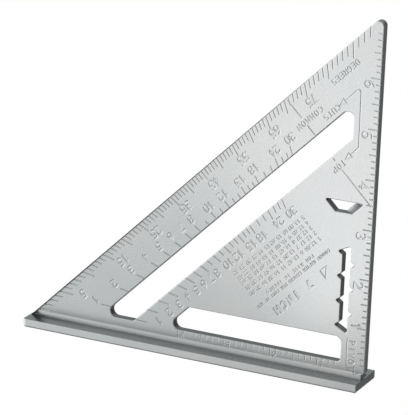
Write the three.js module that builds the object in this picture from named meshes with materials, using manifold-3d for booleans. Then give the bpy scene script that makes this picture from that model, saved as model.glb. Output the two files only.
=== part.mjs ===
// A 7 inch speed square (rafter square): one aluminium casting, in two regions: the
// triangular blade, and the T-shaped fence with the root that the blade grows from.
//
// Frame, in millimetres: +X runs along the fence towards the pivot corner, +Z runs
// up the ruler edge, and Y is the thickness, with the front face towards -Y.
// The origin is the middle of the fence's underside.

import * as THREE from 'three';
import { mergeVertices } from 'three/addons/utils/BufferGeometryUtils.js';
import Module from 'manifold-3d';

const wasm = await Module();
wasm.setup();

// ---- driving dimensions -------------------------------------------------
const INCH = 25.4;
const LEG = 184.4;              // pivot to where the long edge would meet either leg
const BLADE_THICK = 4.65;
const FENCE_LENGTH = 185.2;
const FENCE_HEIGHT = 4.45;
const FENCE_WIDTH = 24.8;
const FENCE_EDGE_ROUND = 1.1;   // on the two edges of the fence's underside
const FENCE_END_ROUND = 1.2;    // on the two upright edges of the fence's free end
const FILLET = 2.4;             // concave root between blade and fence, each side
const ROOT_TOP = 3.0;           // height over the fence where the two solids part
const GAP = 0.3;                // clear space between them

const TIP_ROUND = 2.75;
const BAR = INCH / 2;           // width of the bars of metal around the cut-outs
const SLOT_OUTER = 151.3;       // x-z offset of the long slot's upper edge
const SLOT_INNER = 133.4;       // and of its lower edge
const CUTOUT_BASE = 6.6;        // height of the cut-outs' lower edges over the fence
const BIG_ROUND = 3.3;          // the cut-outs' acute corners
const SMALL_ROUND = 1.6;        // the cut-outs' blunt corners

const WINDOW_TOP = 19.5;
const WINDOW_RIGHT = -13.15;
const WINDOW_INNER = 115.7;     // x-z offset of the window's sloping end

const SCRIBE_LEFT = -14.7;      // the notched slot's two long sides
const SCRIBE_RIGHT = -10.45;
const SCRIBE_TOP = 66.7;
const SCRIBE_BOTTOM = 21.7;
const SCRIBE_END_ROUND = 0.9;
const NOTCH_DEPTH = 2.5;        // pencil notches in the slot's sides
const NOTCH_HALF = 1.7;
const NOTCH_ROUND = 0.5;
const LEFT_NOTCHES = [2.5, 2, 1.5, 1];      // inches over the fence
const RIGHT_NOTCHES = [1.25, 1.75, 2.25];

const GAUGE_TOP = 89.0;         // the short gauge slot marks 3 1/2 inches
const GAUGE_BOTTOM = 83.3;
const GAUGE_LEFT = -25.6;
const GAUGE_RIGHT = -5.2;
const GAUGE_RAMP = 4.6;         // its right end slopes through the thickness
const GAUGE_ROUND = 0.5;

const PIVOT_REACH = 1.7;        // pivot notch: how far it goes in from the ruler edge
const PIVOT_FOOT = 1.0;         // how far in it meets the fence
const PIVOT_RISE = 2.8;         // and how far up it starts
const ARC_STEPS = 5;            // facets round a corner
const OVERCUT = 2;              // how far a cutter passes the faces it cuts
const SUNK = 2;                 // how far the blade's foot goes down into the fence

// ---- helpers ---------------------------------------------------------------

/** Closed outline through corners [x, z, radius], each corner rounded by an arc. */
function roundedOutline(corners, Path = THREE.Shape) {
  const path = new Path();
  corners.forEach(([x, z, radius], i) => {
    const corner = new THREE.Vector2(x, z);
    const before = corners.at(i - 1);
    const after = corners[(i + 1) % corners.length];
    const toBefore = new THREE.Vector2(before[0] - x, before[1] - z).normalize();
    const toAfter = new THREE.Vector2(after[0] - x, after[1] - z).normalize();
    const points = radius > 0 ? cornerArc(corner, toBefore, toAfter, radius) : [corner];
    points.forEach((p, k) => (i + k === 0 ? path.moveTo(p.x, p.y) : path.lineTo(p.x, p.y)));
  });
  path.closePath();
  return path;
}

/** Points of the arc that rounds one corner, from the incoming to the outgoing side. */
function cornerArc(corner, toBefore, toAfter, radius) {
  const half = toBefore.angleTo(toAfter) / 2;
  const middle = toBefore.clone().add(toAfter).normalize();
  const centre = corner.clone().addScaledVector(middle, radius / Math.sin(half));
  const start = corner.clone().addScaledVector(toBefore, radius / Math.tan(half)).sub(centre);
  const end = corner.clone().addScaledVector(toAfter, radius / Math.tan(half)).sub(centre);
  const turn = Math.atan2(start.cross(end), start.dot(end));
  return Array.from({ length: ARC_STEPS + 1 }, (_, k) =>
    start.clone().rotateAround(new THREE.Vector2(), (turn * k) / ARC_STEPS).add(centre));
}

/** Extrude an outline drawn in x-z through the thickness, centred on the blade. */
function plate(outline, thickness) {
  const geometry = new THREE.ExtrudeGeometry(outline, { depth: thickness, bevelEnabled: false });
  geometry.rotateX(Math.PI / 2);
  geometry.translate(0, thickness / 2, 0);
  return geometry;
}

/** Extrude an outline drawn in y-z along X, between two x values. */
function bar(outline, xFrom, xTo) {
  const geometry = new THREE.ExtrudeGeometry(outline, { depth: xTo - xFrom, bevelEnabled: false });
  geometry.rotateX(Math.PI / 2);
  geometry.rotateZ(Math.PI / 2);
  geometry.translate(xFrom, 0, 0);
  return geometry;
}

function toSolid(geometry) {
  const bare = geometry.clone();
  bare.deleteAttribute('normal');
  bare.deleteAttribute('uv');
  const merged = mergeVertices(bare, 1e-4);
  return new wasm.Manifold(new wasm.Mesh({
    numProp: 3,
    vertProperties: Float32Array.from(merged.attributes.position.array),
    triVerts: Uint32Array.from(merged.index.array),
  }));
}

function toMesh(solid, name, material) {
  const mesh = solid.getMesh();
  const geometry = new THREE.BufferGeometry();
  geometry.setAttribute('position', new THREE.BufferAttribute(mesh.vertProperties, 3));
  geometry.setIndex(new THREE.BufferAttribute(mesh.triVerts, 1));
  geometry.computeVertexNormals();
  const part = new THREE.Mesh(geometry, material);
  part.name = name;
  return part;
}

// ---- blade -------------------------------------------------------------------
// Outlines are drawn from the pivot: x is negative along the fence, z is up.

/** Point where the 45 degree line at a given offset meets a height. */
const atHeight = (offset, z) => z - offset;

/** Triangle with its rounded tip and the V notch at the pivot, sunk into the fence. */
function bladeOutline() {
  return roundedOutline([
    [atHeight(LEG, 0), 0, 0],
    [atHeight(LEG, 0), -SUNK, 0],
    [-PIVOT_FOOT, -SUNK, 0],
    [-PIVOT_FOOT, 0, 0],
    [-PIVOT_REACH, PIVOT_RISE / 2, 0],
    [0, PIVOT_RISE, 0],
    [0, LEG, TIP_ROUND],
  ]);
}

/** Long slot beside the sloping edge. */
function longSlotOutline() {
  return roundedOutline([
    [atHeight(SLOT_OUTER, CUTOUT_BASE), CUTOUT_BASE, BIG_ROUND],
    [atHeight(SLOT_INNER, CUTOUT_BASE), CUTOUT_BASE, SMALL_ROUND],
    [-BAR, SLOT_INNER - BAR, SMALL_ROUND],
    [-BAR, SLOT_OUTER - BAR, BIG_ROUND],
  ]);
}

/** Window over the fence, with its inch scale below it. */
function windowOutline() {
  return roundedOutline([
    [atHeight(WINDOW_INNER, CUTOUT_BASE), CUTOUT_BASE, BIG_ROUND],
    [WINDOW_RIGHT, CUTOUT_BASE, SMALL_ROUND],
    [WINDOW_RIGHT, WINDOW_TOP, BIG_ROUND],
    [atHeight(WINDOW_INNER, WINDOW_TOP), WINDOW_TOP, SMALL_ROUND],
  ]);
}

/** Narrow upright slot with a pencil notch at each half inch, left and right in turn. */
function scribeSlotOutline() {
  const corner = (x, z) => [x, z, NOTCH_ROUND];
  const leftTips = LEFT_NOTCHES.map((inches) => corner(SCRIBE_LEFT - NOTCH_DEPTH, inches * INCH));
  const corners = [leftTips.at(-1), [SCRIBE_RIGHT, SCRIBE_BOTTOM, SCRIBE_END_ROUND]];
  for (const z of RIGHT_NOTCHES.map((inches) => inches * INCH)) {
    corners.push(corner(SCRIBE_RIGHT, z - NOTCH_HALF));
    corners.push(corner(SCRIBE_RIGHT + NOTCH_DEPTH, z));
    corners.push(corner(SCRIBE_RIGHT, z + NOTCH_HALF));
  }
  corners.push([SCRIBE_RIGHT, SCRIBE_TOP, SCRIBE_END_ROUND]);
  leftTips.slice(0, -1).forEach((upper, i) => {
    corners.push(upper);
    corners.push(corner(SCRIBE_LEFT, upper[1] - NOTCH_HALF));
    corners.push(corner(SCRIBE_LEFT, leftTips[i + 1][1] + NOTCH_HALF));
  });
  return roundedOutline(corners);
}

/** Cutter for the gauge slot, whose right end slopes through the thickness. */
function gaugeSlotCutter(thickness) {
  const slant = GAUGE_TOP - GAUGE_BOTTOM;
  const outline = roundedOutline([
    [GAUGE_LEFT + slant, GAUGE_BOTTOM, GAUGE_ROUND],
    [GAUGE_RIGHT - slant, GAUGE_BOTTOM, GAUGE_ROUND],
    [GAUGE_RIGHT, GAUGE_TOP, GAUGE_ROUND],
    [GAUGE_LEFT, GAUGE_TOP, GAUGE_ROUND],
  ]);
  const geometry = plate(outline, thickness);
  const position = geometry.attributes.position;
  const middle = (GAUGE_LEFT + GAUGE_RIGHT) / 2;
  const slopePerMm = GAUGE_RAMP / BLADE_THICK;
  for (let i = 0; i < position.count; i += 1) {
    const depth = position.getY(i) + BLADE_THICK / 2;
    if (position.getX(i) > middle) position.setX(i, position.getX(i) - depth * slopePerMm);
  }
  return geometry;
}

/** Cross-section of the blade across its thickness, with a fillet root on each side. */
function bladeSection() {
  const half = BLADE_THICK / 2;
  const side = Array.from({ length: ARC_STEPS + 1 }, (_, k) => {
    const angle = (Math.PI / 2) * (k / ARC_STEPS);
    return new THREE.Vector2(
      half + FILLET * (1 - Math.sin(angle)), FILLET * (1 - Math.cos(angle)));
  });
  const foot = new THREE.Vector2(half + FILLET, -SUNK);
  const outward = [foot, ...side, new THREE.Vector2(half, LEG)];
  const mirrored = outward.map((p) => new THREE.Vector2(-p.x, p.y)).reverse();
  return new THREE.Shape([...outward, ...mirrored]);
}

/** Blade with its fillet roots and all its cut-outs. */
function makeBlade() {
  const wide = FENCE_WIDTH + OVERCUT;
  const section = toSolid(bar(bladeSection(), -LEG - OVERCUT, OVERCUT));
  let blade = toSolid(plate(bladeOutline(), wide)).intersect(section);
  for (const opening of [longSlotOutline(), windowOutline(), scribeSlotOutline()]) {
    blade = blade.subtract(toSolid(plate(opening, wide)));
  }
  return blade.subtract(toSolid(gaugeSlotCutter(wide)));
}

// ---- fence -------------------------------------------------------------------

/** Flat bar with its underside's edges and its free end's corners rounded. */
function makeFence() {
  const half = FENCE_WIDTH / 2;
  const section = roundedOutline([
    [-half, -FENCE_HEIGHT, FENCE_EDGE_ROUND],
    [half, -FENCE_HEIGHT, FENCE_EDGE_ROUND],
    [half, 0, 0],
    [-half, 0, 0],
  ]);
  const plan = roundedOutline([
    [-FENCE_LENGTH, -half, FENCE_END_ROUND],
    [0, -half, 0],
    [0, half, 0],
    [-FENCE_LENGTH, half, FENCE_END_ROUND],
  ]);
  const depth = FENCE_HEIGHT + 2 * OVERCUT;
  const footprint = new THREE.ExtrudeGeometry(plan, { depth, bevelEnabled: false });
  footprint.translate(0, 0, -FENCE_HEIGHT - OVERCUT);
  const length = toSolid(bar(section, -FENCE_LENGTH - OVERCUT, OVERCUT));
  return length.intersect(toSolid(footprint));
}

// ---- assembly ------------------------------------------------------------------

const castAluminium = new THREE.MeshStandardMaterial({
  name: 'cast_aluminium', color: 0xc9cccc, roughness: 0.45, metalness: 0.9,
});

const casting = makeBlade().add(makeFence());
const blade = casting.trimByPlane([0, 0, 1], ROOT_TOP + GAP);
const fence = casting.trimByPlane([0, 0, -1], -ROOT_TOP);

const square = new THREE.Group();
square.name = 'speed_square';
square.add(toMesh(blade, 'blade', castAluminium), toMesh(fence, 'fence', castAluminium));
square.position.set(FENCE_LENGTH / 2, 0, FENCE_HEIGHT);

export default square;
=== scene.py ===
"""A 7 inch speed square in satin cast aluminium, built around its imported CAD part.

The whole square is one casting, so one mesh stands for both CAD nodes. Its two big
faces are drawn flat in millimetres, from the pivot corner (x is negative along the
fence, z is up), and every point then gets a depth: the rounded rims, the fillet at
the foot and the engraved scales are all depths of the same surface.
"""

import math

import bmesh
import bpy
import numpy as np
from mathutils import Matrix, Vector
from mathutils.geometry import delaunay_2d_cdt


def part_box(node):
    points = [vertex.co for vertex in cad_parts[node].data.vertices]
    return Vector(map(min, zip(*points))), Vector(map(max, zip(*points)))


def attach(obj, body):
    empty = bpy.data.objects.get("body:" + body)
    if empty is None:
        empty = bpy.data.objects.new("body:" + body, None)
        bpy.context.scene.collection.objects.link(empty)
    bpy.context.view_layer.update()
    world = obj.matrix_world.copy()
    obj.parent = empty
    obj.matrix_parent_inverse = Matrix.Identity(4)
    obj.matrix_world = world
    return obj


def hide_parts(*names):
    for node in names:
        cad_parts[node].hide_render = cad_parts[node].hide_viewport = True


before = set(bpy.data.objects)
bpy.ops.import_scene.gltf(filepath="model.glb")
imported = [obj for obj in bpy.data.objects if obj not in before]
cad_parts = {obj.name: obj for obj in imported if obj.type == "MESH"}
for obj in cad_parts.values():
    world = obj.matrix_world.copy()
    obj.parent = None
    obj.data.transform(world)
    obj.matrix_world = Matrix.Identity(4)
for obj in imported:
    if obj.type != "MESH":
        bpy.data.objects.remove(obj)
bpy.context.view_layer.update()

# ---- sizes in millimetres ------------------------------------------------------
# An offset stands for a whole 45 degree line, by how far from the pivot it meets the fence.
MM = 0.001
INCH = 25.4
EIGHTH = INCH / 8
ROOT_2 = math.sqrt(2)
LEG = 184.4                     # offset of the long edge
BLADE_THICK = 4.65
TIP_ROUND = 2.75
FILLET = 2.4                    # radius at the foot of the blade
RIM = 0.45                      # radius of the blade's edges
BAR = INCH / 2                  # metal between the ruler edge and the long slot
SLOT_OUTER = 151.3              # offsets of the long slot's sides
SLOT_INNER = 133.4
CUTOUT_BASE = 6.6               # height of the long slot's and the window's lower ends
BIG_ROUND = 3.3
SMALL_ROUND = 1.6
WINDOW_TOP = 19.5
WINDOW_RIGHT = -13.15
WINDOW_INNER = 115.7
SCRIBE_LEFT = -14.7
SCRIBE_RIGHT = -10.45
SCRIBE_TOP = 66.7
SCRIBE_BOTTOM = 21.7
SCRIBE_END_ROUND = 0.9
SCRIBE_LEFT_INCHES = (2.5, 2, 1.5, 1)
SCRIBE_RIGHT_INCHES = (1.25, 1.75, 2.25)
NOTCH_DEPTH = 2.5
NOTCH_HALF = 1.7
NOTCH_ROUND = 0.5
GAUGE_TOP = 89.0
GAUGE_BOTTOM = 83.3
GAUGE_LEFT = -25.6
GAUGE_RIGHT = -5.2
GAUGE_RAMP = 4.6                # how far its right end slopes in, through the blade
GAUGE_ROUND = 0.5
PIVOT_REACH = 1.7               # the notch beside the pivot
PIVOT_FOOT = 1.0
PIVOT_RISE = 2.8
PIVOT_ROUND = 0.3
FENCE_LENGTH = 185.2
FENCE_HEIGHT = 4.45
FENCE_WIDTH = 24.8
FENCE_UNDER_ROUND = 1.1
FENCE_TOP_ROUND = 0.3
FENCE_FAR_ROUND = 1.8           # plan radius of its corners, far from the pivot
FENCE_NEAR_ROUND = 0.35         # and beside it

# ---- how the mesh is made, in millimetres ----------------------------------------
SUNK = 0.6                      # how far the blade's foot goes down into the fence
SHORT = 0.01                    # how far the fillet's lines stop short of the outline
MERGE = 1e-5                    # points of a face closer than this become one
SMALL = 1e-12                   # keeps a division by a zero length from failing
RIM_STEPS = 8
ARC_STEP = math.radians(12)
SHARP_ANGLE = math.radians(13)
LOOP_MITRE = 0.3                # least divisor of a mitre, so that sharp corners don't spike
STROKE_MITRE = 0.6              # the same, for the engraved strokes
CAP_ANGLES = (math.pi / 4, math.pi / 2, 3 * math.pi / 4)

# ---- engraved marks, in millimetres ----------------------------------------------
# Each kind of groove is a half width, the half width of its flat floor, and a depth.
BOLD = (0.58, 0.2, 0.14)
TICK = (0.42, 0.0, 0.13)
LIGHT = (0.38, 0.0, 0.12)
FINE = (0.28, 0.0, 0.1)
BROAD = (0.82, 0.46, 0.14)
DEEPEST = BOLD[2]
EDGE_GAP = 0.05                 # how far inside an edge the marks that open on it begin
SLOPE_UP = (1.0, -1.0)          # up on the sloping text, towards the pivot
RULER_UP = (1.0, 0.0)
BASE_UP = (0.0, 1.0)

# Ticks by the number of eighths past the inch; the odd eighths have the short length.
RULER_TICKS = {0: 4.8, 4: 3.6, 2: 2.4, 6: 2.4}
RULER_SHORT_TICK = 2.2
RULER_EIGHTHS = range(2, 56)
RULER_FIGURE = 4.9
RULER_FIGURE_X = -5.5
RULER_FIGURE_SHIFTS = (1.3, -3.2)       # the 1 stands over its tick, the others under theirs
BASE_TICKS = {0: 4.2, 4: 3.5, 2: 2.5, 6: 2.5}
BASE_SHORT_TICK = 2.0
BASE_EIGHTHS = range(5, 33)
BASE_FIGURE = 2.7
BASE_FIGURE_Z = 3.4
BASE_FIGURE_BESIDE = 2.4        # a base figure stands beside its tick

# Scales of angles. Ticks and figures are measured square to their edge, and each figure
# stands a small angle past its tick.
SCALE_CENTRE = -0.5             # x of the point that the scales turn about
FIGURE_PITCH = 0.82             # of a figure's height
DEGREES = range(1, 89)
NUMBERED_DEGREES = range(5, 80, 10)
DEGREE_TICKS = (6.3, 4.0)       # each fifth degree, and the others
DEGREE_FIGURE = 4.1
DEGREE_FIGURE_IN = 9.1
DEGREE_FIGURE_PAST = 0.8
RAFTER_RUN = 12.0
HIP_RUN = RAFTER_RUN * ROOT_2
MARKED_RISES = (*range(1, 19), *range(20, 31, 2))
NUMBERED_RISES = (1, 2, 3, 4, 5, 6, 7, 8, 10, 12, 15, 18, 24, 30)
COMMON_TICKS = (4.1, 2.6)       # numbered rises, and the others
HIP_TICKS = (5.1, 3.7)
RISE_FIGURE = 3.8
COMMON_FIGURE_OUT = (8.0, 7.1)  # rises under 9, and the others
COMMON_FIGURE_PAST = 0.6
HIP_FIGURE_IN = 8.4
HIP_FIGURE_PAST = 1.3

# The line square to the long edge, x + z = SQUARE_LINE, as stretches of x, and the arrows.
SQUARE_LINE = 87.2
SQUARE_SPANS = ((-47.6, -40.0), (-36.6, -32.4), (-22.2, -21.3), (-17.4, -1.2))
CUTS_ARROW = ((-20.2, 136.6), (-17.6, 139.0))          # tip, and middle of the back
TOP_ARROW = ((-16.0, 110.0), (-13.4, 112.6))
PIVOT_ARROW = ((-2.6, 2.3), (-5.3, 2.3))
ARROW_SPREAD = 0.38             # half an arrow head's back, of its length
CUTS_LEADER = ((-11.9, 145.2), (-11.0, 145.7), (-10.1, 145.3), (-9.8, 144.4), (-9.5, 117.2))
PIVOT_LEADER = ((-9.6, 19.6), (-9.8, 16.5), (-9.7, 5.5), (-9.1, 3.6), (-7.6, 2.7))
CAPTIONS = (                    # words, centre, up, height and pitch
    ("DEGREES", (-18.2, 153.2), SLOPE_UP, 2.7, 2.69),
    ("COMMON", (-35.5, 127.5), SLOPE_UP, 2.9, 3.04),
    ("CUTS", (-24.1, 132.3), SLOPE_UP, 2.8, 2.8),
    ("TOP", (-19.0, 105.9), SLOPE_UP, 2.8, 3.0),
    ("PIVOT", (-7.0, 10.9), RULER_UP, 3.0, 3.25),
)

# The table and the size, on the sloping text's own axes: along its lines, and up.
TABLE_COLUMNS = (-23.9, -11.5, 1.8, 15.4)
TABLE_ROWS = (-67.2, -70.7, -74.0, -77.0, -80.3)
TABLE_FIGURE = 1.95
TABLE_PITCH = 1.56
HEADINGS = (                    # words, place, height and pitch
    ("COMMON RAFTER LENGTH PER FOOT OF RUN", (-3.2, -60.0), 1.55, 1.46),
    ("FOR RISE IN INCHES", (-3.4, -62.8), 1.55, 1.9),
)
SIZE_AT = (3.0, -52.8)
SIZE_LETTER = 3.6
SIZE_PITCH = 4.6
SMALL_SQUARE_AT = (-22.3, -54.8)
SMALL_SQUARE = 4.4

# Camera, solved from the scales: a sensor and a lens in millimetres, azimuth, elevation and
# roll in degrees, and the rest in metres.
SENSOR = 36.0
LENS = 256.3894
CAMERA_ANGLES = (24.67, 17.49, 2.31)
CAMERA_AIM = Vector((0.0026, -0.0023, 0.0776))
CAMERA_DISTANCE = 1.465
CAMERA_REACH = 50.0

# Colours of the metal, linear, with painted shade for its side faces, grooves and cut-out walls.
CAST_DARK = (0.75, 0.765, 0.775)
CAST_LIGHT = (0.81, 0.815, 0.81)
CAST_GRAIN = (0.68, 0.69, 0.70)
# painted shade: the dark colour of every face that looks up, down or sideways, such as the
# blade's edges and the fence's top and ends
SIDE_SHADE = (0.27, 0.29, 0.29)
# painted shade in the engraved grooves
GROOVE_SHADE = (0.50, 0.51, 0.52)
# painted shade, darker still, on the walls of the cut-outs
WALL_SHADE = (0.20, 0.215, 0.215)
WORN = (0.90, 0.91, 0.91)
GRAIN_SHARE = 0.12
SIDE_SHADE_SHARE = 0.8
GROOVE_SHADE_SHARE = 0.15
WORN_SHARE = 0.6

# Its patterns, in repeats to the metre, and the parts of their range that show.
CLOUD_SCALE = 22.0
PATCH_SCALE = 260.0
PORE_SCALE = 330.0
GRAIN_SCALE = 1500.0
CUTTER_SCALE = (40.0, 4200.0, 40.0)
MIDDLE = (0.3, 0.7)
PATCH_MIDDLE = (0.35, 0.65)
GRAIN_MIDDLE = (0.3, 0.75)

# Its finish, and where its painted shade falls. Facing is how squarely a surface looks to the
# front or the back.
METALLIC = 0.9
MILLED_AND_SHADED_FACING = (0.2, 0.5)
WORN_FACING = (0.3, 0.6)
WORN_EDGE = (0.1, 0.9)
# groove depths over which the painted shade of the grooves comes in
GROOVE_SHADE_DEPTH = (0.2, 1.0)
PATCH_WEAR = (0.3, 1.0)
GRAIN_ROUGHNESS = (0.31, 0.34)
CLOUD_ROUGHNESS = (-0.015, 0.02)
CUTTER_SHINE = (0.04, 0.14)     # taken from the roughness of the milled edges
WORN_SHINE = 0.06
GRAIN_STRENGTH = (0.05, 0.01)   # as cast, and milled
PORE_STRENGTH = 0.05
CUTTER_STRENGTH = 0.2
GRAIN_HEIGHT = 0.00003
PORE_HEIGHT = 0.0001
CUTTER_HEIGHT = 0.00005

# Lights of the world: direction in the frame, strength, and the cosine they start at.
KEY_SIDE = (-0.93, -0.37, 0.0)
KEY_LEVEL = 1.2
KEY_START = 0.55
KEY_TOP = (0.55, 0.95)          # heights over which the key fades upwards
KEY_TOP_SHARE = 0.12
KEY_BOTTOM = (-0.95, -0.55)     # and downwards
FRONT_SIDE = (-0.38, -0.87, -0.3)
FRONT_LEVEL = 0.28
FRONT_START = 0.6
FILL_SIDE = (0.95, 0.1, -0.3)
FILL_LEVEL = 0.14
FILL_START = 0.2
BACK_SIDE = (-0.5, 0.8, 0.0)
BACK_LEVEL = 0.3
BACK_START = 0.35
OVERHEAD_LEVEL = 0.35
OVERHEAD_HEIGHTS = (0.15, 0.75)
BASE_LEVEL = 0.07
LIGHT_COLOUR = (0.98, 1.0, 1.0, 1)

# The bright patch of the table, in metres.
GLOW_START = (0.05, -0.1, -0.01)
GLOW_END = (-0.3, -1.1, -0.01)
GLOW_NEAR_HALF = 0.03
GLOW_FAR_HALF = 0.23
GLOW_LEVEL = 1.22
FLOOR_HALF = 12.0

PIVOT = Vector((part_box("fence")[1].x, 0.0, FENCE_HEIGHT * MM))


# ---- outlines --------------------------------------------------------------------
def unit(vector):
    return vector / np.linalg.norm(vector)


def rounded(corners):
    """Closed outline, as an array of points, through corners (x, z, radius)."""
    points = []
    count = len(corners)
    for i, (x, z, radius) in enumerate(corners):
        here = np.array((x, z))
        if radius <= 0:
            points.append(here)
            continue
        before = unit(np.array(corners[i - 1][:2]) - here)
        after = unit(np.array(corners[(i + 1) % count][:2]) - here)
        half = math.acos(np.clip(before @ after, -1, 1)) / 2
        centre = here + unit(before + after) * radius / math.sin(half)
        start = here + before * radius / math.tan(half) - centre
        end = here + after * radius / math.tan(half) - centre
        turn = math.atan2(start[0] * end[1] - start[1] * end[0], start @ end)
        steps = max(2, math.ceil(abs(turn) / ARC_STEP))
        for k in range(steps + 1):
            c, s = math.cos(turn * k / steps), math.sin(turn * k / steps)
            points.append(centre + (c * start[0] - s * start[1], s * start[0] + c * start[1]))
    return np.array(points)


def at_height(offset, z):
    """x of the 45 degree line at an offset, at a height."""
    return z - offset


def blade_outline():
    """The triangle, with its foot sunk in the fence and the notch beside the pivot."""
    return rounded([
        (at_height(LEG, -SUNK), -SUNK, 0),
        (-PIVOT_FOOT, -SUNK, 0),
        (-PIVOT_FOOT, 0, 0),
        (-PIVOT_REACH, PIVOT_RISE / 2, PIVOT_ROUND),
        (0, PIVOT_RISE, PIVOT_ROUND),
        (0, LEG, TIP_ROUND),
    ])


def long_slot_outline():
    return rounded([
        (at_height(SLOT_OUTER, CUTOUT_BASE), CUTOUT_BASE, BIG_ROUND),
        (at_height(SLOT_INNER, CUTOUT_BASE), CUTOUT_BASE, SMALL_ROUND),
        (-BAR, SLOT_INNER - BAR, SMALL_ROUND),
        (-BAR, SLOT_OUTER - BAR, BIG_ROUND),
    ])


def window_outline():
    return rounded([
        (at_height(WINDOW_INNER, CUTOUT_BASE), CUTOUT_BASE, BIG_ROUND),
        (WINDOW_RIGHT, CUTOUT_BASE, SMALL_ROUND),
        (WINDOW_RIGHT, WINDOW_TOP, BIG_ROUND),
        (at_height(WINDOW_INNER, WINDOW_TOP), WINDOW_TOP, SMALL_ROUND),
    ])


def scribe_slot_outline():
    """Slot with a notch at each half inch, on its left and, a quarter inch off, on its right."""
    left_x = SCRIBE_LEFT - NOTCH_DEPTH
    left_tips = [(left_x, inches * INCH, NOTCH_ROUND) for inches in SCRIBE_LEFT_INCHES]
    corners = [left_tips[-1], (SCRIBE_RIGHT, SCRIBE_BOTTOM, SCRIBE_END_ROUND)]
    for inches in SCRIBE_RIGHT_INCHES:
        z = inches * INCH
        corners.append((SCRIBE_RIGHT, z - NOTCH_HALF, NOTCH_ROUND))
        corners.append((SCRIBE_RIGHT + NOTCH_DEPTH, z, NOTCH_ROUND))
        corners.append((SCRIBE_RIGHT, z + NOTCH_HALF, NOTCH_ROUND))
    corners.append((SCRIBE_RIGHT, SCRIBE_TOP, SCRIBE_END_ROUND))
    for upper, lower in zip(left_tips, left_tips[1:]):
        corners.append(upper)
        corners.append((SCRIBE_LEFT, upper[1] - NOTCH_HALF, NOTCH_ROUND))
        corners.append((SCRIBE_LEFT, lower[1] + NOTCH_HALF, NOTCH_ROUND))
    return rounded(corners)


def gauge_slot_outline(shift):
    """Slot with slanted ends. A shift moves its right end in."""
    slant = GAUGE_TOP - GAUGE_BOTTOM
    return rounded([
        (GAUGE_LEFT + slant, GAUGE_BOTTOM, GAUGE_ROUND),
        (GAUGE_RIGHT - slant - shift, GAUGE_BOTTOM, GAUGE_ROUND),
        (GAUGE_RIGHT - shift, GAUGE_TOP, GAUGE_ROUND),
        (GAUGE_LEFT, GAUGE_TOP, GAUGE_ROUND),
    ])


def openings(side):
    """Outlines of the cut-outs on one face: side is -1 at the front, +1 at the back."""
    shift = GAUGE_RAMP if side > 0 else 0.0
    return [long_slot_outline(), window_outline(), scribe_slot_outline(),
            gauge_slot_outline(shift)]


# ---- flat geometry ---------------------------------------------------------------
def segments(loop):
    """One row (x, z, x, z) for each side of a closed loop."""
    return np.hstack([loop, np.roll(loop, -1, axis=0)])


def distance(points, segs, reach):
    """Distance from each point to the nearest of the segments, right within a reach."""
    nearest = np.full(len(points), np.inf)
    for x0, z0, x1, z1 in segs:
        start, end = np.array((x0, z0)), np.array((x1, z1))
        low = np.minimum(start, end) - reach
        high = np.maximum(start, end) + reach
        near = np.flatnonzero(((points > low) & (points < high)).all(axis=1))
        along = end - start
        away = points[near] - start
        share = np.clip(away @ along / max(along @ along, SMALL), 0, 1)
        gap = np.hypot(*(away - share[:, None] * along).T)
        nearest[near] = np.minimum(nearest[near], gap)
    return nearest


def directions(steps):
    """Unit vectors along the steps of a line, and to the left of them."""
    along = steps / np.linalg.norm(steps, axis=1)[:, None]
    return along, np.stack([-along[:, 1], along[:, 0]], axis=1)


def offset_loop(loop, amount):
    """The loop moved to its left by an amount, with mitred corners."""
    _, left = directions(np.roll(loop, -1, axis=0) - loop)
    middle = left + np.roll(left, 1, axis=0)
    middle /= np.maximum((middle * left).sum(1), LOOP_MITRE)[:, None]
    return loop + middle * amount


def stroke_outline(points, half, mouth=None):
    """Closed outline of an open stroke, with round ends, or cut off along its mouth."""
    along, left = directions(np.diff(points, axis=0))
    joint = np.vstack([left[:1], left[1:] + left[:-1], left[-1:]])
    norms = np.vstack([left, left[-1:]])
    joint /= np.maximum((joint * norms).sum(1), STROKE_MITRE)[:, None]
    left_side = points + joint * half
    right_side = points - joint * half
    end_cap = [points[-1] + half * (left[-1] * math.cos(a) + along[-1] * math.sin(a))
               for a in CAP_ANGLES]
    if mouth is not None:
        reach = np.array(mouth) * half / (left[0] @ mouth)
        left_side[0] = points[0] + reach
        right_side[0] = points[0] - reach
        return np.vstack([left_side, end_cap, right_side[::-1]])
    start_cap = [points[0] + half * (-left[0] * math.cos(a) - along[0] * math.sin(a))
                 for a in CAP_ANGLES]
    return np.vstack([left_side, end_cap, right_side[::-1], start_cap])


def inside(points, loop):
    """Even-odd test of each point against a closed loop."""
    odd = np.zeros(len(points), bool)
    x, z = points.T
    for x0, z0, x1, z1 in segments(loop):
        if z0 == z1:
            continue
        crosses = (z0 > z) != (z1 > z)
        odd ^= crosses & (x < (x1 - x0) * (z - z0) / (z1 - z0) + x0)
    return odd


# ---- engraving: strokes and letters --------------------------------------------------
def arc(x, y, rx, ry, start, end, steps=7):
    angles = np.radians(np.linspace(start, end, steps + 1))
    return [(x + rx * math.cos(a), y + ry * math.sin(a)) for a in angles]


def ring(x, y, rx, ry):
    return arc(x, y, rx, ry, 0, 360, 14)


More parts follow.
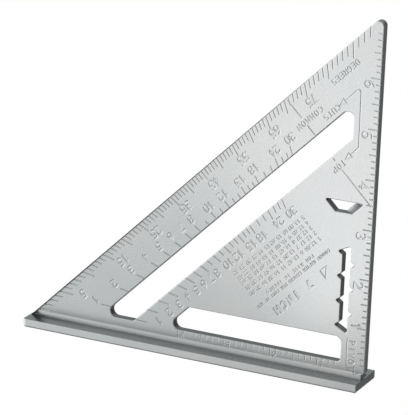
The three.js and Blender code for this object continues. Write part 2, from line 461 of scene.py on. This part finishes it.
# Single-stroke letters, figures and a point, in a box 0.6 wide and 1 high.
GLYPHS = {
    "0": [ring(0.3, 0.5, 0.3, 0.5)],
    "1": [[(0.12, 0.8), (0.34, 1), (0.34, 0)]],
    "2": [arc(0.3, 0.7, 0.28, 0.3, 165, -35) + [(0, 0), (0.6, 0)]],
    "3": [arc(0.3, 0.75, 0.25, 0.25, 150, -90, 6) + arc(0.3, 0.26, 0.3, 0.26, 80, -150)],
    "4": [[(0.44, 0), (0.44, 1), (0, 0.3), (0.6, 0.3)]],
    "5": [[(0.54, 1), (0.1, 1), (0.06, 0.57)] + arc(0.28, 0.32, 0.3, 0.32, 115, -150)],
    "6": [ring(0.3, 0.29, 0.28, 0.29), arc(0.6, 0.29, 0.58, 0.71, 105, 180, 5)],
    "7": [[(0, 1), (0.6, 1), (0.2, 0)]],
    "8": [ring(0.3, 0.75, 0.24, 0.25), ring(0.3, 0.25, 0.29, 0.25)],
    "9": [ring(0.3, 0.71, 0.28, 0.29), arc(0, 0.71, 0.58, 0.71, -75, 0, 5)],
    ".": [[(0.25, 0), (0.35, 0)]],
    "A": [[(0, 0), (0.3, 1), (0.6, 0)], [(0.1, 0.33), (0.5, 0.33)]],
    "C": [arc(0.32, 0.5, 0.3, 0.5, 50, 310, 8)],
    "D": [[(0, 0), (0, 1)] + arc(0.2, 0.5, 0.4, 0.5, 90, -90, 6) + [(0, 0)]],
    "E": [[(0.55, 1), (0, 1), (0, 0), (0.55, 0)], [(0, 0.52), (0.45, 0.52)]],
    "F": [[(0.55, 1), (0, 1), (0, 0)], [(0, 0.52), (0.45, 0.52)]],
    "G": [arc(0.32, 0.5, 0.3, 0.5, 50, 350, 9) + [(0.36, 0.42)]],
    "H": [[(0, 0), (0, 1)], [(0.6, 0), (0.6, 1)], [(0, 0.5), (0.6, 0.5)]],
    "I": [[(0.3, 0), (0.3, 1)]],
    "L": [[(0, 1), (0, 0), (0.55, 0)]],
    "M": [[(0, 0), (0, 1), (0.3, 0.35), (0.6, 1), (0.6, 0)]],
    "N": [[(0, 0), (0, 1), (0.6, 0), (0.6, 1)]],
    "O": [ring(0.3, 0.5, 0.3, 0.5)],
    "P": [[(0, 0), (0, 1)] + arc(0.3, 0.74, 0.28, 0.26, 90, -90, 5) + [(0, 0.48)]],
    "R": [[(0, 0), (0, 1)] + arc(0.3, 0.74, 0.28, 0.26, 90, -90, 5) + [(0, 0.48)],
          [(0.3, 0.48), (0.6, 0)]],
    "S": [arc(0.3, 0.75, 0.28, 0.25, 40, 270, 6) + arc(0.3, 0.25, 0.3, 0.25, 80, -140, 6)],
    "T": [[(0, 1), (0.6, 1)], [(0.3, 1), (0.3, 0)]],
    "U": [[(0, 1), (0, 0.3)] + arc(0.3, 0.28, 0.3, 0.28, 180, 360, 6) + [(0.6, 1)]],
    "V": [[(0, 1), (0.3, 0), (0.6, 1)]],
    " ": [],
}
GLYPH_WIDTH = 0.6


class Engraving:
    """The marks of one face: lines that its triangles follow, and a depth at each point."""

    def __init__(self, hand):
        self.hand = hand          # 1 on the front; -1 on the back, which reads the other way
        self.outlines = []
        self.spines = []
        self.cuts = {}

    def stroke(self, points, cut, mouth=None):
        """Cut a groove along the points. A mouth is the direction of the edge it opens on."""
        points = np.array(points, float)
        half, floor, _ = cut
        for width in (half, floor) if floor else (half,):
            if np.allclose(points[0], points[-1]):
                self.outlines.append(offset_loop(points[:-1], width))
                self.outlines.append(offset_loop(points[:-1], -width))
            else:
                self.outlines.append(stroke_outline(points, width, mouth))
        if not floor:
            self.spines.append(points)
        spans = np.hstack([points[:-1], points[1:]])
        if mouth is not None:
            spans[0, :2] += unit(points[0] - points[1])
        self.cuts.setdefault(cut, []).extend(spans)

    def drawing(self, shape, corner, up, size, cut):
        """Stroke a small shape from its corner, upright along a direction."""
        up = unit(np.array(up))
        right = self.hand * np.array((up[1], -up[0]))
        self.stroke([corner + size * (right * x + up * y) for x, y in shape], cut)

    def text(self, words, centre, up, height, pitch, cut):
        """One line of letters, a pitch apart, about its centre."""
        lean = unit(np.array(up))
        right = self.hand * np.array((lean[1], -lean[0]))
        for i, letter in enumerate(words):
            along = pitch * (i - (len(words) - 1) / 2) - GLYPH_WIDTH / 2 * height
            corner = np.array(centre) + right * along - lean * height / 2
            for shape in GLYPHS[letter]:
                self.drawing(shape, corner, up, height, cut)

    def depth(self, points):
        """How deep the marks are at each point."""
        deepest = np.zeros(len(points))
        for (half, floor, depth), spans in self.cuts.items():
            gap = distance(points, np.array(spans), half)
            deepest = np.maximum(deepest, depth * np.clip((half - gap) / (half - floor), 0, 1))
        return deepest


# ---- the scales and legends ------------------------------------------------------------
def ruler(engraving):
    """Eighths of an inch up the ruler edge, and the inches."""
    for k in RULER_EIGHTHS:
        length = RULER_TICKS.get(k % 8, RULER_SHORT_TICK)
        z = k * EIGHTH
        engraving.stroke([(-EDGE_GAP, z), (-length, z)], TICK, mouth=(0, 1))
    for inch in range(1, 7):
        shift = RULER_FIGURE_SHIFTS[0 if inch == 1 else 1]
        centre = (RULER_FIGURE_X, inch * INCH + shift)
        engraving.text(str(inch), centre, RULER_UP, RULER_FIGURE, 0, BOLD)


def polar(angle, offset):
    """Point at an angle from the fence, on the 45 degree line at an offset."""
    reach = (offset + SCALE_CENTRE) / (math.sin(angle) + math.cos(angle))
    return np.array((SCALE_CENTRE - reach * math.cos(angle), reach * math.sin(angle)))


def angle_tick(engraving, angle, edge, depth):
    """Tick across a 45 degree edge, as deep as measured square to it; negative is inward."""
    away = math.copysign(EDGE_GAP, depth)
    start = polar(angle, edge + away * ROOT_2)
    end = polar(angle, edge + depth * ROOT_2)
    engraving.stroke([start, end], TICK, mouth=unit(np.array((1.0, 1.0))))


def angle_label(engraving, words, angle, edge, depth, height):
    centre = polar(angle, edge + depth * ROOT_2)
    engraving.text(words, centre, SLOPE_UP, height, height * FIGURE_PITCH, BOLD)


def degree_scale(engraving):
    """Degrees along the long edge, with a number at 5, 15, 25 and so on."""
    long_tick, short_tick = DEGREE_TICKS
    for degrees in DEGREES:
        depth = long_tick if degrees % 5 == 0 else short_tick
        angle_tick(engraving, math.radians(degrees), LEG, -depth)
    for degrees in NUMBERED_DEGREES:
        angle = math.radians(degrees + DEGREE_FIGURE_PAST)
        angle_label(engraving, str(degrees), angle, LEG, -DEGREE_FIGURE_IN, DEGREE_FIGURE)


def rafter_scales(engraving):
    """Common rafters above the long slot, hip and valley rafters below it."""
    for rise in MARKED_RISES:
        common = math.atan2(rise, RAFTER_RUN)
        hip = math.atan2(rise, HIP_RUN)
        numbered = rise in NUMBERED_RISES
        which = 0 if numbered else 1
        angle_tick(engraving, common, SLOT_OUTER, COMMON_TICKS[which])
        angle_tick(engraving, hip, SLOT_INNER, -HIP_TICKS[which])
        if numbered:
            out = COMMON_FIGURE_OUT[0 if rise < 9 else 1]
            common += math.radians(COMMON_FIGURE_PAST)
            hip += math.radians(HIP_FIGURE_PAST)
            angle_label(engraving, str(rise), common, SLOT_OUTER, out, RISE_FIGURE)
            angle_label(engraving, str(rise), hip, SLOT_INNER, -HIP_FIGURE_IN, RISE_FIGURE)


def base_ruler(engraving):
    """Eighths of an inch from the pivot, hanging from the window's lower edge."""
    for k in BASE_EIGHTHS:
        length = BASE_TICKS.get(k % 8, BASE_SHORT_TICK)
        x = -k * EIGHTH
        tick = [(x, CUTOUT_BASE - EDGE_GAP), (x, CUTOUT_BASE - length)]
        engraving.stroke(tick, LIGHT, mouth=(1, 0))
    for inch in range(1, 5):
        centre = (BASE_FIGURE_BESIDE - inch * INCH, BASE_FIGURE_Z)
        engraving.text(str(inch), centre, BASE_UP, BASE_FIGURE, 0, LIGHT)


def arrow_head(engraving, tip, back):
    """Triangle with its tip at one point and the middle of its back at another."""
    tip, back = np.array(tip), np.array(back)
    side = ARROW_SPREAD * np.array((tip - back)[::-1]) * (1, -1)
    engraving.stroke([tip, back + side, back - side, tip], LIGHT)


def guide_lines(engraving):
    """The line square to the long edge, and the lines that lead from words to places."""
    for start, end in SQUARE_SPANS:
        engraving.stroke([(start, SQUARE_LINE - start), (end, SQUARE_LINE - end)], LIGHT)
    engraving.stroke([CUTS_ARROW[1], *CUTS_LEADER, TOP_ARROW[1]], LIGHT)
    arrow_head(engraving, *CUTS_ARROW)
    arrow_head(engraving, *TOP_ARROW)
    engraving.stroke([*PIVOT_LEADER, PIVOT_ARROW[1]], LIGHT)
    arrow_head(engraving, *PIVOT_ARROW)


def captions(engraving):
    for words, centre, up, height, pitch in CAPTIONS:
        engraving.text(words, centre, up, height, pitch, LIGHT)


def slope_point(along, up):
    """Point of the sloping text's own axes: along the lines, and up towards the pivot."""
    return np.array(((up - along), -(up + along))) / ROOT_2


def rafter_table(engraving):
    """Rafter length in inches for each foot of run, for rises of 1 to 20."""
    for i, along in enumerate(TABLE_COLUMNS):
        for j, up in enumerate(TABLE_ROWS):
            rise = i * len(TABLE_ROWS) + j + 1
            words = f"{rise} {math.hypot(RAFTER_RUN, rise):.2f}"
            engraving.text(words, slope_point(along, up), SLOPE_UP,
                           TABLE_FIGURE, TABLE_PITCH, FINE)
    for words, at, height, pitch in HEADINGS:
        engraving.text(words, slope_point(*at), SLOPE_UP, height, pitch, FINE)


def size_legend(engraving):
    """The size, and a small right triangle beside it."""
    engraving.text("7 INCH", slope_point(*SIZE_AT), SLOPE_UP, SIZE_LETTER, SIZE_PITCH, BROAD)
    triangle = [(0, 0), (1, 0), (1, 1), (0, 0)]
    engraving.drawing(triangle, slope_point(*SMALL_SQUARE_AT), SLOPE_UP, SMALL_SQUARE, LIGHT)


def front_marks():
    engraving = Engraving(1)
    for part in (ruler, degree_scale, rafter_scales, base_ruler, guide_lines, captions,
                 rafter_table, size_legend):
        part(engraving)
    return engraving


def back_marks():
    """The scales again, read from behind, without the captions and the table."""
    engraving = Engraving(-1)
    for part in (ruler, degree_scale, rafter_scales, base_ruler, size_legend):
        part(engraving)
    return engraving


# ---- the blade's faces -------------------------------------------------------------
class Drawing:
    """Points and lines of one face, for its triangles to follow."""

    def __init__(self):
        self.points = []
        self.edges = []

    def line(self, points, closed=True):
        """Add a line, and return the numbers of its points."""
        start = len(self.points)
        count = len(points)
        self.points.extend(points)
        last = count if closed else count - 1
        self.edges.extend((start + k, start + (k + 1) % count) for k in range(last))
        return list(range(start, start + count))

    def triangulate(self):
        """Flat points, triangles, and where each drawn point has gone."""
        verts, _, faces, sources, _, _ = delaunay_2d_cdt(
            [Vector(p) for p in self.points], self.edges, [], 0, MERGE)
        where = {i: j for j, merged in enumerate(sources) for i in merged}
        flat = np.array([tuple(v) for v in verts])
        return flat, np.array([f for f in faces if len(f) == 3]), where


def round_steps():
    """Shares of a quarter round's radius, from its start to its end."""
    return [1 - math.cos(math.pi / 2 * k / RIM_STEPS) for k in range(RIM_STEPS + 1)]


def draw_face(loops, engraving):
    """The outlines, the steps of the rims and of the fillet, and the marks."""
    drawing = Drawing()
    rings = [drawing.line(loop) for loop in loops]
    for i, loop in enumerate(loops):
        inward = 1 if i == 0 else -1
        for share in round_steps()[1:]:
            drawing.line(offset_loop(loop, inward * RIM * share))
    for share in round_steps():
        z = FILLET * share
        ends = [(at_height(LEG, z) + SHORT, z), (-PIVOT_REACH - SHORT, z)]
        drawing.line(ends, closed=False)
    for outline in engraving.outlines:
        drawing.line(outline)
    for spine in engraving.spines:
        drawing.line(spine, closed=False)
    return drawing, rings


def on_blade(centres, loops):
    """Which of the points are on the metal: in the first outline and in none of the others."""
    keep = inside(centres, loops[0])
    for loop in loops[1:]:
        keep &= ~inside(centres, loop)
    return keep


def fillet_height(z):
    """How far the fillet at the foot stands out from the face, at a height."""
    rise = np.clip(FILLET - z, 0, FILLET)
    return FILLET - np.sqrt(FILLET ** 2 - rise ** 2)


def rim_distance(flat, loops):
    """Distance to the nearest edge, up to the rim's radius. The sunk foot has no rim."""
    rims = np.vstack([segments(loop) for loop in loops])
    foot = (rims[:, 1] < -SUNK / 2) & (rims[:, 3] < -SUNK / 2)
    return np.clip(distance(flat, rims[~foot], RIM), 0, RIM)


def build_face(side, engraving):
    """Points (x, y, z), their edge wear and painted groove shade, triangles and rims of one big
    face.
    """
    loops = [blade_outline(), *openings(side)]
    drawing, rings = draw_face(loops, engraving)
    flat, tris, where = drawing.triangulate()
    tris = tris[on_blade(flat[tris].mean(axis=1), loops)]
    rings = [[where[i] for i in ring] for ring in rings]

    edge = rim_distance(flat, loops)
    drop = RIM - np.sqrt(RIM ** 2 - (RIM - edge) ** 2)
    cut = engraving.depth(flat)
    out = BLADE_THICK / 2 + fillet_height(flat[:, 1]) - np.maximum(drop, cut)
    solid = np.column_stack([flat[:, 0], side * out, flat[:, 1]])
    wear_and_shade = np.column_stack([1 - edge / RIM, cut / DEEPEST])
    for ring in rings[1:]:
        wear_and_shade[ring, 1] = 1.0          # the walls of the cut-outs get full painted shade
    return solid, wear_and_shade, tris, rings


def finish_layers(mesh):
    """Two numbers at each point, for the material: edge wear, and depth of the groove, for its
    painted shade.
    """
    return mesh.verts.layers.float.new("wear"), mesh.verts.layers.float.new("groove")


def build_blade():
    """Both faces, with the walls between their rims."""
    front, front_wear_and_shade, front_tris, front_rings = build_face(-1, front_marks())
    back, back_wear_and_shade, back_tris, back_rings = build_face(1, back_marks())
    shift = len(front)
    mesh = bmesh.new()
    wear, groove = finish_layers(mesh)
    verts = []
    for point, wear_and_shade in zip(np.vstack([front, back]), np.vstack([front_wear_and_shade, back_wear_and_shade])):
        vert = mesh.verts.new(point)
        vert[wear], vert[groove] = wear_and_shade
        verts.append(vert)
    for a, b, c in front_tris:
        mesh.faces.new((verts[a], verts[b], verts[c]))
    for a, b, c in back_tris + shift:
        mesh.faces.new((verts[c], verts[b], verts[a]))
    for front_ring, back_ring in zip(front_rings, back_rings):
        for k, a in enumerate(front_ring):
            n = (k + 1) % len(front_ring)
            b, c, d = front_ring[n], back_ring[n] + shift, back_ring[k] + shift
            mesh.faces.new((verts[b], verts[a], verts[d], verts[c]))
    loose = [v for v in mesh.verts if not v.link_faces]
    bmesh.ops.delete(mesh, geom=loose, context="VERTS")
    bmesh.ops.recalc_face_normals(mesh, faces=mesh.faces)
    return mesh


# ---- fence -----------------------------------------------------------------------
def fence_levels():
    """Inset, height and wear of each ring of the fence, from its underside up."""
    angles = [math.pi / 2 * k / RIM_STEPS for k in range(RIM_STEPS + 1)]
    under = [(FENCE_UNDER_ROUND * (1 - math.sin(a)),
              -FENCE_HEIGHT + FENCE_UNDER_ROUND * (1 - math.cos(a)), math.sin(2 * a))
             for a in angles]
    top = [(FENCE_TOP_ROUND * (1 - math.cos(a)),
            -FENCE_TOP_ROUND * (1 - math.sin(a)), math.sin(2 * a)) for a in angles]
    return under + top


def build_fence():
    """Flat bar with rounded ends and edges, as a stack of inset rings."""
    half = FENCE_WIDTH / 2
    plan = rounded([
        (-FENCE_LENGTH, -half, FENCE_FAR_ROUND),
        (0, -half, FENCE_NEAR_ROUND),
        (0, half, FENCE_NEAR_ROUND),
        (-FENCE_LENGTH, half, FENCE_FAR_ROUND),
    ])
    mesh = bmesh.new()
    wear, _ = finish_layers(mesh)
    rings = []
    for inset, z, worn in fence_levels():
        ring = [mesh.verts.new((x, y, z)) for x, y in offset_loop(plan, inset)]
        for vert in ring:
            vert[wear] = worn
        rings.append(ring)
    for lower, upper in zip(rings, rings[1:]):
        for k in range(len(lower)):
            n = (k + 1) % len(lower)
            mesh.faces.new((lower[k], lower[n], upper[n], upper[k]))
    mesh.faces.new(rings[0][::-1])
    mesh.faces.new(rings[-1])
    return mesh


# ---- materials -------------------------------------------------------------------
class Nodes:
    """Short calls for building a node tree."""

    def __init__(self, tree):
        self.nodes = tree.nodes
        self.links = tree.links

    def add(self, kind, **settings):
        """New node of a kind, with its settings."""
        node = self.nodes.new("ShaderNode" + kind)
        for name, value in settings.items():
            setattr(node, name, value)
        return node

    def noise(self, coords, scale, detail=3.0):
        node = self.add("TexNoise")
        node.inputs["Scale"].default_value = scale
        node.inputs["Detail"].default_value = detail
        self.links.new(coords, node.inputs["Vector"])
        return node.outputs["Fac"]

    def stretched(self, coords, scale):
        node = self.add("Mapping")
        node.inputs["Scale"].default_value = scale
        self.links.new(coords, node.inputs["Vector"])
        return node.outputs["Vector"]

    def ramp(self, value, low, high, bottom, top):
        """Go smoothly from bottom to top while the value goes from low to high."""
        node = self.add("MapRange", interpolation_type="SMOOTHSTEP")
        node.inputs["From Min"].default_value = low
        node.inputs["From Max"].default_value = high
        node.inputs["To Min"].default_value = bottom
        node.inputs["To Max"].default_value = top
        self.links.new(value, node.inputs["Value"])
        return node.outputs["Result"]

    def facing(self, coords, direction):
        """Cosine between the coordinates and a direction."""
        node = self.add("VectorMath", operation="DOT_PRODUCT")
        node.inputs[1].default_value = Vector(direction).normalized()
        self.links.new(coords, node.inputs[0])
        return node.outputs["Value"]

    def math(self, operation, first, second):
        node = self.add("Math", operation=operation)
        for socket, value in zip(node.inputs, (first, second)):
            if isinstance(value, float):
                socket.default_value = value
            else:
                self.links.new(value, socket)
        return node.outputs["Value"]

    def blend(self, factor, colour, other):
        node = self.add("Mix", data_type="RGBA")
        self.links.new(factor, node.inputs["Factor"])
        for name, value in (("A", colour), ("B", other)):
            socket = next(i for i in node.inputs if i.name == name and i.type == "RGBA")
            if isinstance(value, tuple):
                socket.default_value = (*value, 1.0)
            else:
                self.links.new(value, socket)
        return next(o for o in node.outputs if o.type == "RGBA")

    def bump(self, height, strength, distance, under=None):
        node = self.add("Bump")
        node.inputs["Distance"].default_value = distance
        if isinstance(strength, float):
            node.inputs["Strength"].default_value = strength
        else:
            self.links.new(strength, node.inputs["Strength"])
        self.links.new(height, node.inputs["Height"])
        if under is not None:
            self.links.new(under, node.inputs["Normal"])
        return node.outputs["Normal"]


def metal_colour(n, groove, milled_and_shaded, worn, clouds, grain):
    """Cast skin, painted shade on the milled side faces, painted shade in the marks, worn
    corners, and darker painted shade on the cut-out walls.
    """
    colour = n.blend(n.ramp(clouds, *MIDDLE, 0.0, 1.0), CAST_DARK, CAST_LIGHT)
    colour = n.blend(n.ramp(grain, *GRAIN_MIDDLE, 0.0, GRAIN_SHARE), colour, CAST_GRAIN)
    # painted shade on the faces that look up, down or sideways
    colour = n.blend(n.math("MULTIPLY", milled_and_shaded, SIDE_SHADE_SHARE), colour, SIDE_SHADE)
    # painted shade in the engraved grooves, darker where they are deeper
    colour = n.blend(n.ramp(groove, *GROOVE_SHADE_DEPTH, 0.0, GROOVE_SHADE_SHARE), colour, GROOVE_SHADE)
    colour = n.blend(n.math("MULTIPLY", worn, WORN_SHARE), colour, WORN)
    # painted shade on the walls of the cut-outs
    return n.blend(n.math("MULTIPLY", milled_and_shaded, groove), colour, WALL_SHADE)


def metal_roughness(n, milled_and_shaded, worn, clouds, grain, lines):
    """Uneven satin, smoother along the cutter's lines and where it is worn."""
    rough = n.math("ADD", n.ramp(grain, *MIDDLE, *GRAIN_ROUGHNESS),
                   n.ramp(clouds, *MIDDLE, *CLOUD_ROUGHNESS))
    shine = n.math("MULTIPLY", milled_and_shaded, n.ramp(lines, *MIDDLE, *CUTTER_SHINE))
    rough = n.math("SUBTRACT", rough, shine)
    return n.math("SUBTRACT", rough, n.math("MULTIPLY", worn, WORN_SHINE))


def metal_skin(n, coords, milled_and_shaded, grain, lines):
    """Fine grain, shallow pores, and the cutter's lines on the milled edges."""
    skin = n.bump(grain, n.ramp(milled_and_shaded, 0.0, 1.0, *GRAIN_STRENGTH), GRAIN_HEIGHT)
    skin = n.bump(n.noise(coords, PORE_SCALE, 2.0), PORE_STRENGTH, PORE_HEIGHT, skin)
    return n.bump(lines, n.math("MULTIPLY", milled_and_shaded, CUTTER_STRENGTH), CUTTER_HEIGHT, skin)


def cast_aluminium():
    """Satin cast metal, with milled edges in painted shade, brighter worn corners, and painted
    shade in the grooves and on the cut-out walls.
    """
    mat = bpy.data.materials.new("cast_aluminium")
    mat.use_nodes = True
    shader = mat.node_tree.nodes["Principled BSDF"]
    n = Nodes(mat.node_tree)
    texture = n.add("TexCoord")
    coords = texture.outputs["Object"]
    wear = n.add("Attribute", attribute_name="wear").outputs["Fac"]
    groove = n.add("Attribute", attribute_name="groove").outputs["Fac"]
    normal = n.add("SeparateXYZ")
    n.links.new(texture.outputs["Normal"], normal.inputs[0])
    facing = n.math("ABSOLUTE", normal.outputs["Y"], 0.0)
    # faces that look up, down or sideways count as milled: they get the cutter's lines and
    # shine, and painted shade in their colour
    milled_and_shaded = n.ramp(facing, *MILLED_AND_SHADED_FACING, 1.0, 0.0)

    clouds = n.noise(coords, CLOUD_SCALE, 4.0)
    grain = n.noise(coords, GRAIN_SCALE, 2.0)
    lines = n.noise(n.stretched(coords, CUTTER_SCALE), 1.0, 2.0)
    patchy = n.ramp(n.noise(coords, PATCH_SCALE), *PATCH_MIDDLE, *PATCH_WEAR)
    corners = n.math("MULTIPLY", n.ramp(wear, *WORN_EDGE, 0.0, 1.0),
                     n.ramp(facing, *WORN_FACING, 0.0, 1.0))
    worn = n.math("MULTIPLY", corners, patchy)

    colour = metal_colour(n, groove, milled_and_shaded, worn, clouds, grain)
    rough = metal_roughness(n, milled_and_shaded, worn, clouds, grain, lines)
    skin = metal_skin(n, coords, milled_and_shaded, grain, lines)
    n.links.new(colour, shader.inputs["Base Color"])
    n.links.new(rough, shader.inputs["Roughness"])
    n.links.new(skin, shader.inputs["Normal"])
    shader.inputs["Metallic"].default_value = METALLIC
    return mat


# ---- assembly --------------------------------------------------------------------
def to_object(mesh, name):
    """Object in the scene from a bmesh, which is freed."""
    data = bpy.data.meshes.new(name)
    mesh.to_mesh(data)
    mesh.free()
    obj = bpy.data.objects.new(name, data)
    bpy.context.scene.collection.objects.link(obj)
    return obj


def place(obj):
    """From millimetres at the pivot corner to the frame in metres."""
    for v in obj.data.vertices:
        v.co = v.co * MM + PIVOT


def build_casting():
    """The blade and the fence as one watertight mesh, smooth but for its real edges."""
    blade = to_object(build_blade(), "casting")
    fence = to_object(build_fence(), "fence_bar")
    join = blade.modifiers.new("join", "BOOLEAN")
    join.operation = "UNION"
    join.solver = "MANIFOLD"
    join.object = fence
    bpy.context.view_layer.update()
    joined = blade.evaluated_get(bpy.context.evaluated_depsgraph_get())
    result = bpy.data.meshes.new_from_object(joined)
    blade.modifiers.clear()
    blade.data = result
    bpy.data.objects.remove(fence)
    place(blade)
    blade.data.shade_smooth()
    blade.data.set_sharp_from_angle(angle=SHARP_ANGLE)
    weighted = blade.modifiers.new("normals", "WEIGHTED_NORMAL")
    weighted.keep_sharp = True
    return blade


casting = build_casting()
casting.data.materials.clear()
casting.data.materials.append(cast_aluminium())
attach(casting, "root")
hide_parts("blade", "fence")


# ---- floor, light and camera -------------------------------------------------------
def emission(name, strength):
    """White light of one strength."""
    mat = bpy.data.materials.new(name)
    mat.use_nodes = True
    nodes = mat.node_tree.nodes
    nodes.remove(nodes["Principled BSDF"])
    glow = nodes.new("ShaderNodeEmission")
    glow.inputs["Color"].default_value = (1, 1, 1, 1)
    glow.inputs["Strength"].default_value = strength
    mat.node_tree.links.new(glow.outputs[0], nodes["Material Output"].inputs["Surface"])
    return mat


def make_floor():
    """Plain white floor, seen by the camera only."""
    mesh = bmesh.new()
    bmesh.ops.create_grid(mesh, x_segments=1, y_segments=1, size=FLOOR_HALF)
    floor = to_object(mesh, "floor")
    floor.data.materials.append(emission("floor", 1.0))
    floor.data.materials[0].cycles.emission_sampling = "NONE"
    floor.visible_glossy = False
    floor.visible_diffuse = False
    floor.visible_shadow = False


def make_world():
    """Soft studio: a key to the left, dimmer light in front, behind and overhead, and a base."""
    world = bpy.data.worlds.new("studio")
    world.use_nodes = True
    n = Nodes(world.node_tree)
    coords = n.add("TexCoord").outputs["Generated"]
    height = n.facing(coords, (0, 0, 1))
    key = n.ramp(n.facing(coords, KEY_SIDE), KEY_START, 1.0, 0.0, KEY_LEVEL)
    key = n.math("MULTIPLY", key, n.ramp(height, *KEY_TOP, 1.0, KEY_TOP_SHARE))
    key = n.math("MULTIPLY", key, n.ramp(height, *KEY_BOTTOM, 0.0, 1.0))
    fill = n.ramp(n.facing(coords, FILL_SIDE), FILL_START, 1.0,
                  BASE_LEVEL, BASE_LEVEL + FILL_LEVEL)
    front = n.ramp(n.facing(coords, FRONT_SIDE), FRONT_START, 1.0, 0.0, FRONT_LEVEL)
    back = n.ramp(n.facing(coords, BACK_SIDE), BACK_START, 1.0, 0.0, BACK_LEVEL)
    overhead = n.ramp(height, *OVERHEAD_HEIGHTS, 0.0, OVERHEAD_LEVEL)
    rest = n.math("ADD", front, n.math("ADD", back, overhead))
    total = n.math("ADD", n.math("ADD", key, fill), rest)
    background = n.nodes["Background"]
    n.links.new(total, background.inputs["Strength"])
    background.inputs["Color"].default_value = LIGHT_COLOUR
    bpy.context.scene.world = world


def make_glow():
    """Bright patch of the table, widening from the pivot to the front left."""
    start, end = Vector(GLOW_START), Vector(GLOW_END)
    aside = (end - start).normalized().cross(Vector((0, 0, 1)))
    mesh = bmesh.new()
    corners = [start - aside * GLOW_NEAR_HALF, start + aside * GLOW_NEAR_HALF,
               end + aside * GLOW_FAR_HALF, end - aside * GLOW_FAR_HALF]
    mesh.faces.new([mesh.verts.new(corner) for corner in corners])
    glow = to_object(mesh, "glow")
    glow.data.materials.append(emission("glow", GLOW_LEVEL))
    glow.visible_camera = False
    glow.visible_shadow = False


def make_camera():
    """Camera at the photograph's angle, aimed at the middle of the square."""
    data = bpy.data.cameras.new("camera")
    data.sensor_width = SENSOR
    data.lens = LENS
    data.clip_end = CAMERA_REACH
    camera = bpy.data.objects.new("camera", data)
    bpy.context.scene.collection.objects.link(camera)
    azimuth, elevation, roll = (math.radians(a) for a in CAMERA_ANGLES)
    back = Vector((math.sin(azimuth) * math.cos(elevation),
                   -math.cos(azimuth) * math.cos(elevation), math.sin(elevation)))
    camera.location = CAMERA_AIM + back * CAMERA_DISTANCE
    turn = (-back).to_track_quat("-Z", "Y").to_matrix()
    camera.matrix_world = (Matrix.Translation(camera.location)
                           @ (turn @ Matrix.Rotation(roll, 3, "Z")).to_4x4())
    bpy.context.scene.camera = camera


make_floor()
make_world()
make_glow()
make_camera()
bpy.context.scene.view_settings.view_transform = "Standard"
